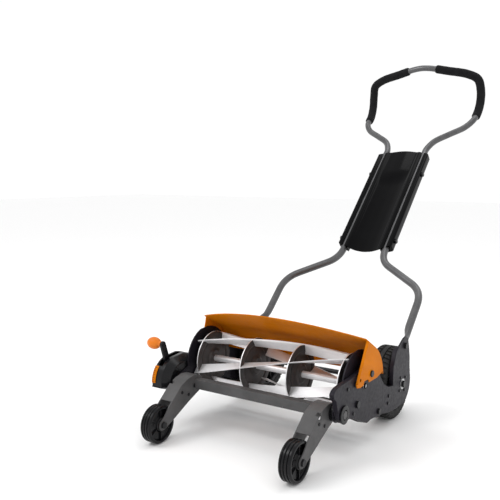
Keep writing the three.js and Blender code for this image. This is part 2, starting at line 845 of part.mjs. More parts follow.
function chute() {
  const inner = arc(0, REEL_Z, CHUTE_R, 4, LIP_ANGLE, 9);
  const outer = arc(0, REEL_Z, CHUTE_R + CHUTE_WALL, LIP_ANGLE, 4, 9);
  const lip = [onLip(CHUTE_R, LIP_LENGTH), onLip(CHUTE_R + CHUTE_WALL, LIP_LENGTH)];
  const wall = prism([...inner, ...lip, ...outer], CHUTE_LEFT_OUT, CHUTE_SIDE_OUT);
  const rear = [...arc(0, REEL_Z, CHUTE_R + 1, 8, LIP_ANGLE, 8), onLip(CHUTE_R + 1, 58)];
  const rightSide = [
    ...rear,
    [-58, 179],
    [-53, 169],
    [-38, 166],
    [-19, 167],
    [-15, 176],
    [9, 176],
    [14, 167],
    [60, 167],
  ];
  const leftSide = [...rear, [-24, 190], [-18, 180], [-4, 180], [60, 174]];
  const pin = (x0, x1) => solid(rod(CHUTE_PIN.r + RUN, x0, x1, CHUTE_PIN.y, CHUTE_PIN.z));
  const lock = rod(4.5, 250, 260, -36, 184, 12);
  const parts = [
    cut(solid(wall), [solid(lipCutter())]),
    solid(prism(rightSide, CHUTE_SIDE_IN, CHUTE_SIDE_OUT)),
    solid(prism(leftSide, CHUTE_LEFT_OUT, CHUTE_LEFT_IN)),
  ];
  return cut(joined(parts), [pin(-242, -230), pin(250, 260), solid(lock)]);
}

// ---- handle ----

// A matrix from panel space (across, up the slope, out of the panel) to the mower's frame.
function panelSpace() {
  const c = Math.cos(rad(HANDLE_SLOPE));
  const s = Math.sin(rad(HANDLE_SLOPE));
  const matrix = new THREE.Matrix4().makeBasis(
    new THREE.Vector3(1, 0, 0),
    new THREE.Vector3(0, c, s),
    new THREE.Vector3(0, -s, c),
  );
  return matrix.setPosition(0, PANEL_BASE.y, PANEL_BASE.z);
}

// A point of the handle's plane.
function onSlope(x, y) {
  return new THREE.Vector3(x, y, PANEL_BASE.z + (y - PANEL_BASE.y) * Math.tan(rad(HANDLE_SLOPE)));
}

function lowerTube(side) {
  const corners = [onSlope(234, 305), onSlope(234, 424), onSlope(TUBE_X, 498), onSlope(TUBE_X, 696)];
  corners.forEach((corner) => corner.setX(side * corner.x));
  const path = new THREE.CurvePath();
  const near = (from, to, distance) =>
    from.clone().add(to.clone().sub(from).setLength(distance));
  const bends = [1, 2].map((i) => ({
    before: near(corners[i], corners[i - 1], 30),
    corner: corners[i],
    after: near(corners[i], corners[i + 1], 30),
  }));
  path.add(new THREE.LineCurve3(corners[0], bends[0].before));
  path.add(new THREE.QuadraticBezierCurve3(bends[0].before, bends[0].corner, bends[0].after));
  path.add(new THREE.LineCurve3(bends[0].after, bends[1].before));
  path.add(new THREE.QuadraticBezierCurve3(bends[1].before, bends[1].corner, bends[1].after));
  path.add(new THREE.LineCurve3(bends[1].after, corners[3]));
  const round = solid(tube(path, 28, circle(TUBE_R, TUBE_SIDES)));
  const tab = [
    ...arc(HANDLE_BOLT.y, HANDLE_BOLT.z, 13, 130, 310, 8),
    [322, 222],
    [306, 238],
  ];
  const flat = solid(prism(tab, side * 238.4, side * 244.6));
  return cut(joined([round, flat]), [
    solid(rod(HANDLE_BOLT.r + RUN, side * 230, side * 250, HANDLE_BOLT.y, HANDLE_BOLT.z)),
    panelBoltHole(side, 41),
  ]);
}

function loopCurve() {
  const right = [
    ...[697, 790, 856, 873].map((y) => onSlope(TUBE_X, y)),
    onSlope(90, 905),
    onSlope(135, 932),
    onSlope(180, 957),
    new THREE.Vector3(202, 985, 862),
    new THREE.Vector3(206, 1022, 892),
    new THREE.Vector3(208, 1044, 932),
    new THREE.Vector3(207, 1047, 975),
    new THREE.Vector3(198, 1038, 1011),
    new THREE.Vector3(165, 1029, 1030),
    new THREE.Vector3(100, 1020, 1045),
  ];
  const left = right.map((point) => new THREE.Vector3(-point.x, point.y, point.z)).reverse();
  const top = new THREE.Vector3(0, 1010, 1062);
  return new THREE.CatmullRomCurve3([...right, top, ...left], false, "centripetal");
}

function upperLoop(curve) {
  const loop = solid(tube(curve, LOOP_STEPS, circle(TUBE_R, TUBE_SIDES)));
  return cut(loop, [panelBoltHole(-1, 348), panelBoltHole(1, 348)]);
}

function grip(curve, side) {
  const middle = LOOP_STEPS / 2;
  const [near, far] = GRIP_STATIONS.map((station) => middle - side * station);
  const from = Math.min(near, far) / LOOP_STEPS;
  const to = Math.max(near, far) / LOOP_STEPS;
  const steps = GRIP_STATIONS[1] - GRIP_STATIONS[0];
  return tube(new Stretch(curve, from, to), steps, circle(GRIP_R, 12, GRIP_BORE_R));
}

function panelBoltHole(side, along) {
  const hole = rod(3 + GAP, side * 40, side * 110, along, 0, 8);
  return solid(hole.applyMatrix4(panelSpace()));
}

function panelBolt(side, along) {
  const shank = rod(3, side * 61.2, side * (PANEL_HALF + 2), along, 0, 8);
  const head = rod(8, side * (PANEL_HALF + GAP), side * (PANEL_HALF + 6), along, 0, 12);
  return joined([shank, head].map((part) => solid(part.applyMatrix4(panelSpace()))));
}

// A glossy tray with an open channel down each side that holds the handle tubes.
function panel() {
  const half = [
    [0, 2],
    [30, 4],
    [48, 8.5],
    [54, 12],
    [58, 12.5],
    [60.6, 10],
    [60.6, -11.4],
    [83.4, -11.4],
    [83.4, 11.5],
    [86, 14],
    [90, 14],
    [PANEL_HALF, 11.5],
    [PANEL_HALF, -14.4],
    [57, -14.4],
    [57, 7.5],
    [49, 5],
    [30, 0.8],
    [0, -1.2],
  ];
  const mirrored = half.slice(1, -1).map(([a, b]) => [-a, b]);
  const section = shapeOf([...half, ...mirrored.reverse()]);
  const length = new THREE.ExtrudeGeometry(section, { depth: 540, bevelEnabled: false });
  length.rotateX(Math.PI / 2).translate(0, 500, 0);
  const plan = [];
  for (let i = 0; i <= 10; i += 1) {
    const u = -PANEL_HALF - 2 + ((2 * PANEL_HALF + 4) * i) / 10;
    plan.push([u, 12 - 24 * (1 - (u / PANEL_HALF) ** 2)]);
  }
  for (let i = 10; i >= 0; i -= 1) {
    const u = -PANEL_HALF - 2 + ((2 * PANEL_HALF + 4) * i) / 10;
    plan.push([u, 438 + 18 * (1 - (u / PANEL_HALF) ** 2)]);
  }
  const planSolid = new THREE.ExtrudeGeometry(shapeOf(plan), { depth: 60, bevelEnabled: false });
  planSolid.translate(0, 0, -30);
  const place = (geometry) => solid(geometry.applyMatrix4(panelSpace()));
  const bolts = [];
  for (const side of [-1, 1]) {
    for (const along of [41, 348]) {
      bolts.push(solid(rod(3 + GAP, side * 82, side * 110, along, 0, 8).applyMatrix4(panelSpace())));
    }
  }
  return cut(place(length).intersect(place(planSolid)), bolts);
}

function handleMeshes() {
  const curve = loopCurve();
  const made = [
    mesh("lower_tube_left", lowerTube(-1), TUBE_PAINT),
    mesh("lower_tube_right", lowerTube(1), TUBE_PAINT),
    mesh("handle_panel", panel(), BLACK),
    mesh("upper_loop", upperLoop(curve), TUBE_PAINT),
  ];
  for (const [word, side] of Object.entries({ left: -1, right: 1 })) {
    made.push(mesh(`grip_${word}`, solid(grip(curve, side)), FOAM));
    made.push(mesh(`panel_bolt_low_${word}`, panelBolt(side, 41), BLACK));
    made.push(mesh(`panel_bolt_high_${word}`, panelBolt(side, 348), BLACK));
  }
  return made;
}

// ---- the mower, standing on z = 0 with its bounding box centred on the origin ----

const mower = new THREE.Group();
mower.name = "reel_mower";
mower.add(...chassisMeshes(), ...reelMeshes(), ...driveMeshes(), ...carriageMeshes());
mower.add(mesh("chute", chute(), ORANGE));
mower.add(...handleMeshes());

const bounds = new THREE.Box3().setFromObject(mower, true);
const middle = bounds.getCenter(new THREE.Vector3());
mower.position.set(-middle.x, -middle.y, -bounds.min.z);
mower.updateMatrixWorld(true);

export default mower;
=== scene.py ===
"""Looks of the push reel mower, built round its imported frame. X runs across, Y back and Z up.

Places and sizes of the mower's pieces are in millimetres until at() or MM turns them into metres.
"""

import json
import math

import bmesh
import bpy
from mathutils import Matrix, Vector


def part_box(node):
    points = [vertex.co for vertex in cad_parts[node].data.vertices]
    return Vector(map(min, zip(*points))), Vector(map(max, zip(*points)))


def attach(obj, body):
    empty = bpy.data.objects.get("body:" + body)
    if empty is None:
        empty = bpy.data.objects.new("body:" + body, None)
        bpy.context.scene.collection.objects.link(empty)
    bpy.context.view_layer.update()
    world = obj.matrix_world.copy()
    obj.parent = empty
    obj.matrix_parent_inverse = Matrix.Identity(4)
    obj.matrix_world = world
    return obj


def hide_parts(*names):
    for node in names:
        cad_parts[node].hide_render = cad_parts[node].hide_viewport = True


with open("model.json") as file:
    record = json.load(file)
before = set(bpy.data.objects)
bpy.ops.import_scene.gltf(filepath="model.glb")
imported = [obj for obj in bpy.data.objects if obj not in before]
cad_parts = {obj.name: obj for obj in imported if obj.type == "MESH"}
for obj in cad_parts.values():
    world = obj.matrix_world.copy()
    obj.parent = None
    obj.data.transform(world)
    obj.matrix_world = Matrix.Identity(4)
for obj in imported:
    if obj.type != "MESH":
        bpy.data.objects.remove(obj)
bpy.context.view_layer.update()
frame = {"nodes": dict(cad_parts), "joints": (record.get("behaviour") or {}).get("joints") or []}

scene = bpy.context.scene
JOINT = {joint["name"]: Vector(joint["pos_m"]) for joint in frame["joints"]}
REEL = JOINT["reel_spin"]
AXLE = JOINT["drive_spin"]
HINGE = JOINT["carriage_swing"]
FRONT_LEFT = JOINT["front_wheel_left_spin"]
FRONT_RIGHT = JOINT["front_wheel_right_spin"]
MM = 0.001
SIDES = (("left", -1), ("right", 1))
FACES = (("in", -1), ("out", 1))


def at(x, y, z):
    """A point in millimetres from the middle of the reel axis on the ground."""
    return Vector((REEL.x + x * MM, REEL.y + y * MM, z * MM))


def side_view(point):
    """The y and z that at() takes to reach a point of the frame."""
    return (point.y - REEL.y) / MM, point.z / MM


def around(centre, r, degrees):
    """The y and z, in millimetres, at a distance from a point of the frame."""
    y, z = side_view(centre)
    a = math.radians(degrees)
    return y + r * math.cos(a), z + r * math.sin(a)


def beside(node, axis):
    """The point of an axis level with the middle of a CAD node."""
    low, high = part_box(node)
    return Vector(((low.x + high.x) / 2, axis.y, axis.z))


# ---- camera, floor and light ----


def make_camera():
    """A view from the front right, from about two thirds of the handle's height."""
    data = bpy.data.cameras.new("camera")
    data.lens = 49.22
    data.sensor_width = 36
    data.clip_start = 0.05
    data.clip_end = 60
    camera = bpy.data.objects.new("camera", data)
    scene.collection.objects.link(camera)
    ahead = Vector((-0.55747, 0.822516, -0.112671)).normalized()
    right = Vector((0.827789, 0.56104, 0)).normalized()
    up = right.cross(ahead)
    turn = Matrix((right, up, -ahead)).transposed().to_4x4()
    eye = at(927.818, -1498.186, 678.030)
    camera.matrix_world = Matrix.Translation(eye) @ turn
    scene.camera = camera


def area_light(name, place, target, size, power):
    data = bpy.data.lights.new(name, "AREA")
    data.shape = "RECTANGLE"
    data.size, data.size_y = size
    data.energy = power
    light = bpy.data.objects.new(name, data)
    scene.collection.objects.link(light)
    light.location = place
    light.rotation_mode = "QUATERNION"
    light.rotation_quaternion = (Vector(target) - Vector(place)).to_track_quat("-Z", "Y")


def make_floor():
    """A wide pale floor, just below the wheels."""
    half = 14
    gap = 0.0006
    mesh = bpy.data.meshes.new("floor")
    corners = [(-half, -half, 0), (half, -half, 0), (half, half, 0), (-half, half, 0)]
    mesh.from_pydata(corners, [], [(0, 1, 2, 3)])
    floor = bpy.data.objects.new("floor", mesh)
    scene.collection.objects.link(floor)
    floor.location = (0, 0, -gap)
    look = bpy.data.materials.new("floor")
    look.use_nodes = True
    shader = look.node_tree.nodes["Principled BSDF"]
    shader.inputs["Base Color"].default_value = (0.95, 0.95, 0.95, 1)
    shader.inputs["Roughness"].default_value = 0.9
    mesh.materials.append(look)


def make_surroundings():
    """An even white sky, two soft lights and the floor."""
    world = bpy.data.worlds.new("studio")
    world.use_nodes = True
    background = world.node_tree.nodes["Background"]
    background.inputs["Color"].default_value = (1, 1, 1, 1)
    background.inputs["Strength"].default_value = 1.02
    scene.world = world
    scene.view_settings.view_transform = "Standard"
    area_light("key", (-1.6, -2.2, 2.8), (0, 0, 0.3), (1.2, 1.2), 30)
    area_light("top", (0.2, 0.8, 3.2), (0, 0.1, 0.2), (2.0, 1.2), 14)
    make_floor()


# ---- materials ----


class Look:
    """A shader with noise-driven colour, roughness and bump in the object's own metres."""

    def __init__(self, name, roughness, metallic=0.0, specular=0.5):
        self.material = bpy.data.materials.new(name)
        self.material.use_nodes = True
        self.tree = self.material.node_tree
        self.shader = self.tree.nodes["Principled BSDF"]
        self.shader.inputs["Roughness"].default_value = roughness
        self.shader.inputs["Metallic"].default_value = metallic
        self.shader.inputs["Specular IOR Level"].default_value = specular
        self.place = self.node("ShaderNodeTexCoord").outputs["Object"]
        self.height = None

    def node(self, kind, **settings):
        made = self.tree.nodes.new(kind)
        for key, value in settings.items():
            setattr(made, key, value)
        return made

    def link(self, a, b):
        self.tree.links.new(a, b)

    def stretched(self, scale):
        mapping = self.node("ShaderNodeMapping")
        mapping.inputs["Scale"].default_value = scale
        self.link(self.place, mapping.inputs["Vector"])
        return mapping.outputs["Vector"]

    def noise(self, scale, detail=3.0, rough=0.55, stretch=None, twist=0.0):
        made = self.node("ShaderNodeTexNoise")
        made.inputs["Scale"].default_value = scale
        made.inputs["Detail"].default_value = detail
        made.inputs["Roughness"].default_value = rough
        made.inputs["Distortion"].default_value = twist
        self.link(self.stretched(stretch) if stretch else self.place, made.inputs["Vector"])
        return made.outputs["Fac"]

    def cells(self, scale, output="Distance"):
        made = self.node("ShaderNodeTexVoronoi", feature="F1")
        made.inputs["Scale"].default_value = scale
        self.link(self.place, made.inputs["Vector"])
        return made.outputs[output]

    def ramp(self, source, stops):
        """A blend between (position, colour) stops."""
        made = self.node("ShaderNodeValToRGB")
        for element, (position, colour) in zip(made.color_ramp.elements, stops):
            element.position = position
            element.color = (*colour, 1)
        self.link(source, made.inputs["Fac"])
        return made.outputs["Color"]

    def span(self, source, low, high, start=0.3, end=0.7):
        """The source's range from start to end, stretched to run from low to high."""
        made = self.node("ShaderNodeMapRange")
        made.inputs["From Min"].default_value = start
        made.inputs["From Max"].default_value = end
        made.inputs["To Min"].default_value = low
        made.inputs["To Max"].default_value = high
        self.link(source, made.inputs["Value"])
        return made.outputs["Result"]

    def mix(self, share, first, second):
        """A colour between a linked colour and a fixed or linked one."""
        made = self.node("ShaderNodeMix", data_type="RGBA")
        first_colour, second_colour, result = made.inputs[6], made.inputs[7], made.outputs[2]
        self.link(share, made.inputs["Factor"])
        self.link(first, first_colour)
        second_colour.default_value = (*second, 1)
        return result

    def colour(self, source):
        self.link(source, self.shader.inputs["Base Color"])

    def roughness(self, source):
        self.link(source, self.shader.inputs["Roughness"])

    def bump(self, source, distance, strength=1.0):
        """Relief on top of any relief that the shader has already."""
        made = self.node("ShaderNodeBump")
        made.inputs["Distance"].default_value = distance
        made.inputs["Strength"].default_value = strength
        self.link(source, made.inputs["Height"])
        if self.height:
            self.link(self.height, made.inputs["Normal"])
        self.height = made.outputs["Normal"]
        self.link(self.height, self.shader.inputs["Normal"])


def painted(name, light, dark, metallic=0.1, low=0.34, high=0.5, specular=0.3):
    """Satin powder coat: orange peel, faint blotches and fine pale scuffs."""
    look = Look(name, 0.4, metallic, specular)
    blotch = look.ramp(look.noise(14, 4), [(0.35, dark), (0.68, light)])
    scuff = look.span(look.noise(60, 8, 0.7, (1, 1, 3)), 0, 0.35, 0.63, 0.74)
    pale = tuple(min(1, 1.6 * c + 0.02) for c in light)
    look.colour(look.mix(scuff, blotch, pale))
    look.roughness(look.span(look.noise(120, 4), low, high))
    look.bump(look.noise(420, 2), 0.00018, 0.6)
    return look.material


def metal(name, light, dark, stretch, low, high, metallic=1.0):
    """Ground or plated metal, with fine lines or grain that follow the stretch."""
    look = Look(name, 0.3, metallic)
    lines = look.noise(1, 6, 0.6, stretch)
    cloud = look.noise(18, 4)
    streaks = look.ramp(lines, [(0.3, dark), (0.7, light)])
    look.colour(look.mix(look.span(cloud, 0, 1), streaks, light))
    look.roughness(look.span(lines, low, high))
    look.bump(lines, 0.00005, 0.5)
    return look.material


def moulded(name, light, dark, low, high, grain=600, depth=0.00012, specular=0.3):
    """Moulded plastic: fine grain and faint flow marks."""
    look = Look(name, 0.4, specular=specular)
    look.colour(look.ramp(look.noise(9, 5, 0.5, (1, 1, 2.2), 0.6), [(0.3, dark), (0.72, light)]))
    look.roughness(look.span(look.noise(85, 6, 0.65), low, high))
    look.bump(look.noise(grain, 3, 0.6), depth, 0.5)
    return look.material


def side_casting():
    return painted("side_casting", (0.019, 0.017, 0.023), (0.011, 0.01, 0.014), specular=0.16)


def carriage_paint():
    return painted("carriage_paint", (0.098, 0.096, 0.097), (0.07, 0.069, 0.07), specular=0.2)


def disc_paint():
    # Dark grey paint with a warm brownish tint; the grey is the discs' own colour, the tint a painted
    # reflection of the orange chute.
    return painted("disc_paint", (0.07, 0.062, 0.06), (0.042, 0.037, 0.036), 0.2, specular=0.2)


def dark_hardware():
    return painted("dark_hardware", (0.02, 0.02, 0.022), (0.011, 0.011, 0.012), 0.4, 0.28, 0.42)


def blade_steel():
    """Ground steel with lines along the blades."""
    light, dark = (0.88, 0.87, 0.88), (0.74, 0.73, 0.75)
    return metal("blade_steel", light, dark, (9, 420, 420), 0.36, 0.52, 0.6)


def zinc_steel():
    light, dark = (0.5, 0.5, 0.5), (0.34, 0.34, 0.35)
    return metal("zinc_steel", light, dark, (260, 260, 260), 0.25, 0.45)


def orange_plastic():
    light, dark = (0.66, 0.195, 0.004), (0.54, 0.15, 0.002)
    return moulded("orange_plastic", light, dark, 0.36, 0.5, specular=0.04)


def knob_plastic():
    light, dark = (0.74, 0.2, 0.016), (0.64, 0.16, 0.01)
    return moulded("knob", light, dark, 0.3, 0.42, specular=0.2)


def black_plastic():
    light, dark = (0.007, 0.007, 0.008), (0.003, 0.003, 0.004)
    return moulded("black_plastic", light, dark, 0.16, 0.3, specular=0.22)


def gloss_black():
    light, dark = (0.0015, 0.0015, 0.002), (0.0007, 0.0007, 0.001)
    return moulded("gloss_black", light, dark, 0.08, 0.14, 900, 0.00002, 0.07)


def tyre_rubber():
    """Dull black rubber with a little pale dust."""
    look = Look("tyre_rubber", 0.8, specular=0.3)
    dust = look.span(look.noise(30, 7, 0.7), 0, 0.4, 0.5, 0.8)
    light, dark = (0.013, 0.013, 0.013), (0.006, 0.006, 0.006)
    base = look.ramp(look.noise(12, 4), [(0.3, dark), (0.7, light)])
    look.colour(look.mix(dust, base, (0.045, 0.043, 0.04)))
    look.roughness(look.span(look.noise(200, 5), 0.55, 0.85))
    look.bump(look.noise(500, 4, 0.7), 0.0003, 0.6)
    return look.material


def grip_foam():
    """Closed-cell foam: tiny pits over a soft, slightly uneven skin."""
    look = Look("grip_foam", 0.95, specular=0.15)
    light, dark = (0.012, 0.012, 0.013), (0.005, 0.005, 0.006)
    look.colour(look.ramp(look.noise(35, 5), [(0.3, dark), (0.7, light)]))
    look.roughness(look.span(look.noise(250, 4), 0.75, 0.95))
    look.bump(look.noise(28, 3), 0.0012, 0.35)
    look.bump(look.cells(900), 0.0005, 0.8)
    return look.material


def tube_metal():
    """Metallic powder coat: fine pale flake over soft grey blotches."""
    look = Look("tube_metal", 0.38, 0.75, 0.3)
    flake = look.cells(2600, "Color")
    light, dark = (0.12, 0.12, 0.123), (0.075, 0.075, 0.078)
    grey = look.ramp(look.noise(22, 5), [(0.3, dark), (0.7, light)])
    look.colour(look.mix(look.span(flake, 0, 0.3, 0.5, 1), grey, (0.34, 0.34, 0.34)))
    look.roughness(look.span(look.noise(160, 5), 0.26, 0.4))
    look.bump(look.noise(380, 3), 0.00015, 0.5)
    return look.material


def make_materials():
    """One material for each slot of the mower, and one for the knob."""
    return {
        "side_casting": side_casting(),
        "carriage_paint": carriage_paint(),
        "blade_steel": blade_steel(),
        "disc_paint": disc_paint(),
        "tube_metal": tube_metal(),
        "orange_plastic": orange_plastic(),
        "black_plastic": black_plastic(),
        "gloss_black": gloss_black(),
        "tyre_rubber": tyre_rubber(),
        "grip_foam": grip_foam(),
        "zinc_steel": zinc_steel(),
        "dark_hardware": dark_hardware(),
        "knob": knob_plastic(),
    }


# ---- building pieces ----


def piece(name, mesh, body, slot, nodes=(), material=None):
    """A new piece of the mower that rides a body and may stand for some of its CAD nodes."""
    obj = bpy.data.objects.new(name, mesh)
    scene.collection.objects.link(obj)
    mesh.materials.append(MATERIAL[material or slot])
    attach(obj, body)
    if nodes:
        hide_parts(*nodes)
    return obj


def solid(name, rings, joined=False):
    """A closed mesh over rings of points: its ends are filled, or the last ring joins the first."""
    count, width = len(rings), len(rings[0])
    faces = []
    for i in range(count if joined else count - 1):
        for j in range(width):
            k, n = (i + 1) % count, (j + 1) % width
            faces.append((i * width + j, i * width + n, k * width + n, k * width + j))
    if not joined:
        faces.append(tuple(range(width)))
        faces.append(tuple(range((count - 1) * width, count * width)))
    mesh = bpy.data.meshes.new(name)
    mesh.from_pydata([tuple(point) for ring in rings for point in ring], [], faces)
    work = bmesh.new()
    work.from_mesh(mesh)
    bmesh.ops.recalc_face_normals(work, faces=work.faces)
    work.to_mesh(mesh)
    work.free()
    mesh.polygons.foreach_set("use_smooth", [True] * len(mesh.polygons))
    return mesh


def arc_through(start, corner, end, steps):
    """Points of a soft curve that leaves start and reaches end along the sides of a corner."""
    made = []
    for i in range(steps + 1):
        t = i / steps
        made.append(start * (1 - t) ** 2 + corner * 2 * t * (1 - t) + end * t**2)
    return made


def rounded(corners, steps=3):
    """The closed outline with each corner (a, b, radius) turned into a small curve."""
    side_share = 0.48
    made = []
    for i, (a, b, radius) in enumerate(corners):
        here = Vector((a, b))
        before = Vector(corners[i - 1][:2]) - here
        after = Vector(corners[(i + 1) % len(corners)][:2]) - here
        reach = min(radius, before.length * side_share, after.length * side_share)
        if reach <= 0:
            made.append((a, b))
            continue
        start = here + before.normalized() * reach
        end = here + after.normalized() * reach
        made += [(point.x, point.y) for point in arc_through(start, here, end, steps)]
    return made


def turned(name, profile, centre, segments):
    """A closed (x, radius) outline in millimetres turned about the X line through centre."""
    rings = []
    for i in range(segments):
        a = math.tau * i / segments
        cos, sin = math.cos(a), math.sin(a)
        rings.append([centre + Vector((x, r * cos, r * sin)) * MM for x, r in profile])
    return solid(name, rings, joined=True)


def oval_ring(centre, across, up, wide, high, sides):
    """Points round an oval, with its half sizes in millimetres."""
    ring = []
    for i in range(sides):
        a = math.tau * i / sides
        ring.append(centre + (across * math.cos(a) * wide + up * math.sin(a) * high) * MM)
    return ring


def swept(name, path, widths, heights, sides, across=None):
    """A bar along points, with an oval section whose half sizes are given at each point."""
    rings = []
    for i, point in enumerate(path):
        tangent = (path[min(i + 1, len(path) - 1)] - path[max(i - 1, 0)]).normalized()
        across = across or tangent.orthogonal().normalized()
        across = (across - tangent * across.dot(tangent)).normalized()
        rings.append(oval_ring(point, across, tangent.cross(across), widths[i], heights[i], sides))
    return solid(name, rings)


def crisp(obj, angle):
    """Smooth shading that stays sharp across edges steeper than angle."""
    split = obj.modifiers.new("crisp", "EDGE_SPLIT")
    split.split_angle = math.radians(angle)
    return obj


def edged(obj, width, segments=2, angle=35):
    """Small rounded edges on a flat-sided piece."""
    bevel = obj.modifiers.new("edges", "BEVEL")
    bevel.width = width * MM
    bevel.segments = segments
    bevel.limit_method = "ANGLE"
    bevel.angle_limit = math.radians(angle)
    bevel.use_clamp_overlap = False
    obj.modifiers.new("normals", "WEIGHTED_NORMAL").keep_sharp = True
    return obj


def boss(name, body, slot, span, r, place, sides, bore=0.4):
    """A short round or six-sided piece across X, such as a bolt head, in millimetres."""
    x0, x1 = span
    corners = [(x0, bore, 0.1), (x0, r, 0.8), (x1, r, 0.8), (x1, bore, 0.1)]
    mesh = turned(name, rounded(corners), at(0, *place), sides)
    return crisp(piece(name, mesh, body, slot), 35)


def plank(name, body, slot, corners, edge):
    """A solid with eight corners in millimetres: four at one end, then four at the other."""
    points = [at(*corner) for corner in corners]
    return edged(piece(name, solid(name, [points[:4], points[4:]]), body, slot), edge)


def dress(node, slot, width, segments=2, angle=35):
    """A CAD node kept as it is, with its finish and finely rounded edges."""
    weld_distance = 0.00001
    flat_angle = 0.6
    obj = frame["nodes"][node]
    obj.data.materials.clear()
    obj.data.materials.append(MATERIAL[slot])
    if "custom_normal" in obj.data.attributes:
        obj.data.attributes.remove(obj.data.attributes["custom_normal"])
    obj.data.polygons.foreach_set("use_smooth", [True] * len(obj.data.polygons))
    obj.modifiers.new("weld", "WELD").merge_threshold = weld_distance
    flat = obj.modifiers.new("flat", "DECIMATE")
    flat.decimate_type = "DISSOLVE"
    flat.angle_limit = math.radians(flat_angle)
    return edged(obj, width, segments, angle)


# ---- reel ----

BLADES = 5
DISCS = 4
BLADE_START = -25
BLADE_LEAN = 25
BLADE_TWIST = 90
BLADE_TIP = 76.5
BLADE_HALF_LENGTH = 226
DISC_RADIUS = 74.1


def reel_blade(index):
    """A helical strip with a ground edge along its tip."""
    steps = 120
    start = math.radians(BLADE_START + 360 / BLADES * index)
    lean = start - math.radians(BLADE_LEAN)
    chord = Vector((-math.cos(lean), math.sin(lean)))
    side = Vector((-chord.y, chord.x))
    tip = Vector((-math.cos(start), math.sin(start))) * BLADE_TIP
    section = rounded(
        [(0, -1.5, 0.1), (0, -0.5, 0.1), (-3.2, 1.5, 0.3), (-28, 1.5, 0.7), (-28, -1.5, 0.7)]
    )
    rings = []
    for i in range(steps + 1):
        share = i / steps
        x = BLADE_HALF_LENGTH * (2 * share - 1)
        turn = Matrix.Rotation(-math.radians(BLADE_TWIST) * share, 2)
        ring = []
        for along, thick in section:
            point = turn @ (tip + chord * along + side * thick)
            ring.append(REEL + Vector((x, point.x, point.y)) * MM)
        rings.append(ring)
    name = f"blade_{index + 1}"
    crisp(piece(name, solid(name, rings), "reel", "blade_steel", [f"reel_{name}"]), 32)


def reel_disc(index):
    """A pressed disc with a hub, a shallow bead and a painted highlight: a bright band round its rim.
    """
    name = f"disc_{index + 1}"
    node = f"reel_{name}"
    centre = beside(node, REEL)
    corners = [
        (-8, 9.3, 0.6), (-8, 22, 2), (-3.4, 25.5, 3), (-1.6, 29, 3), (-1.6, 50, 1), (-3, 52, 1.4),
        (-3, 56, 1.4), (-1.6, 58, 1), (-1.6, DISC_RADIUS, 0.6), (1.6, DISC_RADIUS, 0.6), (1.6, 58, 1),
        (0.2, 56, 1.4), (0.2, 52, 1.4), (1.6, 50, 1), (1.6, 29, 3), (3.4, 25.5, 3), (8, 22, 2),
        (8, 9.3, 0.6),
    ]
    mesh = turned(name, rounded(corners), centre, 120)
    crisp(piece(name, mesh, "reel", "disc_paint", [node]), 50)
    # Bright steel band round the rim: a painted highlight for the light caught by the disc's edge.
    low, high = DISC_RADIUS - 0.5, DISC_RADIUS + 0.2
    painted_highlight_band = [(-1.3, low, 0.2), (-1.3, high, 0.2), (1.3, high, 0.2), (1.3, low, 0.2)]
    piece(f"{name}_rim", turned(f"{name}_rim", rounded(painted_highlight_band), centre, 120), "reel", "blade_steel")


def reel_shaft():
    """A stepped shaft and the six-sided nut on its right end."""
    corners = [
        (-244.4, 0.5, 0.1), (-244.4, 9, 0.8), (236.9, 9, 0.8), (236.9, 6, 0.2), (253.4, 6, 0.8),
        (253.4, 0.5, 0.1),
    ]
    shaft = turned("shaft", rounded(corners, 2), REEL, 48)
    crisp(piece("shaft", shaft, "reel", "blade_steel", ["reel_shaft"]), 32)
    boss("shaft_nut", "reel", "dark_hardware", (250.4, 255.3), 7, side_view(REEL), 6, 5.9)


def make_reel():
    for index in range(BLADES):
        reel_blade(index)
    for index in range(DISCS):
        reel_disc(index)
    reel_shaft()
    dress("reel_sprocket", "zinc_steel", 0.3)


# ---- wheels ----


def drive_tyre(word, centre):
    """Tread of a middle rib between two grooves, with slanted lugs on both shoulders."""
    half = [
        (0, 100.5, 0), (5.8, 100.5, 0), (6.6, 95.6, 0), (8.6, 95.6, 0), (9.4, 100.5, 1),
        (13, 100.5, 1), (18, 100.3, 1), (22.4, 99.4, 1), (25.6, 96.6, 1), (27.3, 92.2, 1),
        (27.5, 88.2, 0), (26.6, 85.8, 0), (27.2, 83.6, 0), (27.2, 79, 0), (25.8, 75, 0), (24, 74.2, 0),
    ]
    profile = [(-a, r, lug) for a, r, lug in reversed(half[1:])] + half
    half_width = 27.5
    lugs = 44
    lug_slant = 0.32
    lug_height = 3.6
    stagger = 0.5
    raised, sunk = (0, 0.50), (0.58, 0.92)
    rings = []
    for i in range(lugs):
        for place in raised + sunk:
            drop = lug_height if place in sunk else 0
            ring = []
            for a, r, lug in profile:
                slant = lug_slant * abs(a) / half_width + (stagger if a > 0 else 0)
                angle = math.tau * (i + place + slant) / lugs
                reach = r - drop * lug
                ring.append(centre + Vector((a, reach * math.cos(angle), reach * math.sin(angle))) * MM)
            rings.append(ring)
    mesh = solid(f"tread_{word}", rings, joined=True)
    crisp(piece(f"tread_{word}", mesh, "drive_wheels", "tyre_rubber", [f"tyre_{word}"]), 30)


def ribs(name, body, centre, angles, reach, layers, edge):
    """Ribs from hub to rim on both faces of a wheel; a layer is a distance out and a half thickness."""
    (foot, foot_half), (crest, crest_half) = layers
    outline = [(foot, -foot_half), (foot, foot_half), (crest, crest_half), (crest, -crest_half)]
    for word, face in FACES:
        for i, angle in enumerate(angles):
            a = math.radians(angle)
            radial = Vector((0, math.cos(a), math.sin(a)))
            cross = Vector((0, -math.sin(a), math.cos(a)))
            rings = []
            for r in reach:
                rings.append([
                    centre + (radial * r + cross * thick + Vector((face * depth, 0, 0))) * MM
                    for depth, thick in outline
                ])
            rib = f"{name}_rib_{word}_{i + 1}"
            edged(piece(rib, solid(rib, rings), body, "black_plastic"), edge)


